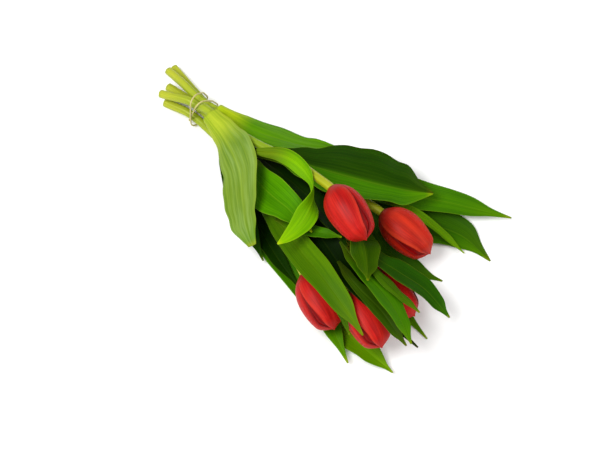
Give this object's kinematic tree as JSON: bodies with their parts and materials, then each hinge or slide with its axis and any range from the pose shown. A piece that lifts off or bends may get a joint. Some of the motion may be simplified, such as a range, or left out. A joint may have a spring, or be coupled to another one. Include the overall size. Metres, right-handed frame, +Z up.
{
  "type": "bunch of tulips",
  "caption": "Bunch of red tulips in closed bud with long green leaves, lying on its side and held by a doubled rubber band.",
  "frame": {"origin": "middle of the bunch's box on the surface it lies on", "axes": "+X along the bunch from the cut stem ends to the leaf tips, +Y across it, +Z up"},
  "size_m": [0.391, 0.2196, 0.0919],
  "materials": {
    "stem": "satin, juicy green stem",
    "tepal_outer": "soft satin petal",
    "tepal_inner": "soft satin petal",
    "leaf_glaucous": "waxy, greyish bloom",
    "leaf_pale": "waxy",
    "leaf_mid": "waxy satin",
    "leaf_bright": "waxy satin",
    "leaf_dark": "waxy satin",
    "leaf_olive": "waxy satin",
    "rubber_band": "matt"
  },
  "bodies": {
    "root": {"stem_1": "stem", "stem_2": "stem", "stem_3": "stem", "stem_4": "stem", "stem_5": "stem", "bud_1_outer_1": "tepal_outer", "bud_1_outer_2": "tepal_outer", "bud_1_outer_3": "tepal_outer", "bud_1_inner_1": "tepal_inner", "bud_1_inner_2": "tepal_inner", "bud_1_inner_3": "tepal_inner", "bud_2_outer_1": "tepal_outer", "bud_2_outer_2": "tepal_outer", "bud_2_outer_3": "tepal_outer", "bud_2_inner_1": "tepal_inner", "bud_2_inner_2": "tepal_inner", "bud_2_inner_3": "tepal_inner", "bud_3_outer_1": "tepal_outer", "bud_3_outer_2": "tepal_outer", "bud_3_outer_3": "tepal_outer", "bud_3_inner_1": "tepal_inner", "bud_3_inner_2": "tepal_inner", "bud_3_inner_3": "tepal_inner", "bud_4_outer_1": "tepal_outer", "bud_4_outer_2": "tepal_outer", "bud_4_outer_3": "tepal_outer", "bud_4_inner_1": "tepal_inner", "bud_4_inner_2": "tepal_inner", "bud_4_inner_3": "tepal_inner", "bud_5_outer_1": "tepal_outer", "bud_5_outer_2": "tepal_outer", "bud_5_outer_3": "tepal_outer", "bud_5_inner_1": "tepal_inner", "bud_5_inner_2": "tepal_inner", "bud_5_inner_3": "tepal_inner", "leaf_01": "leaf_glaucous", "leaf_02": "leaf_dark", "leaf_03": "leaf_pale", "leaf_04": "leaf_mid", "leaf_05": "leaf_mid", "leaf_06": "leaf_mid", "leaf_07": "leaf_bright", "leaf_08": "leaf_mid", "leaf_09": "leaf_olive", "leaf_10": "leaf_dark", "leaf_11": "leaf_mid", "leaf_12": "leaf_olive", "leaf_13": "leaf_mid", "leaf_14": "leaf_olive", "leaf_15": "leaf_dark", "leaf_16": "leaf_bright", "leaf_17": "leaf_bright", "leaf_18": "leaf_mid", "leaf_19": "leaf_mid", "leaf_20": "leaf_dark", "leaf_21": "leaf_mid", "leaf_22": "leaf_dark", "leaf_23": "leaf_olive", "leaf_24": "leaf_bright", "rubber_band": "rubber_band"}
  },
  "joints": []
}
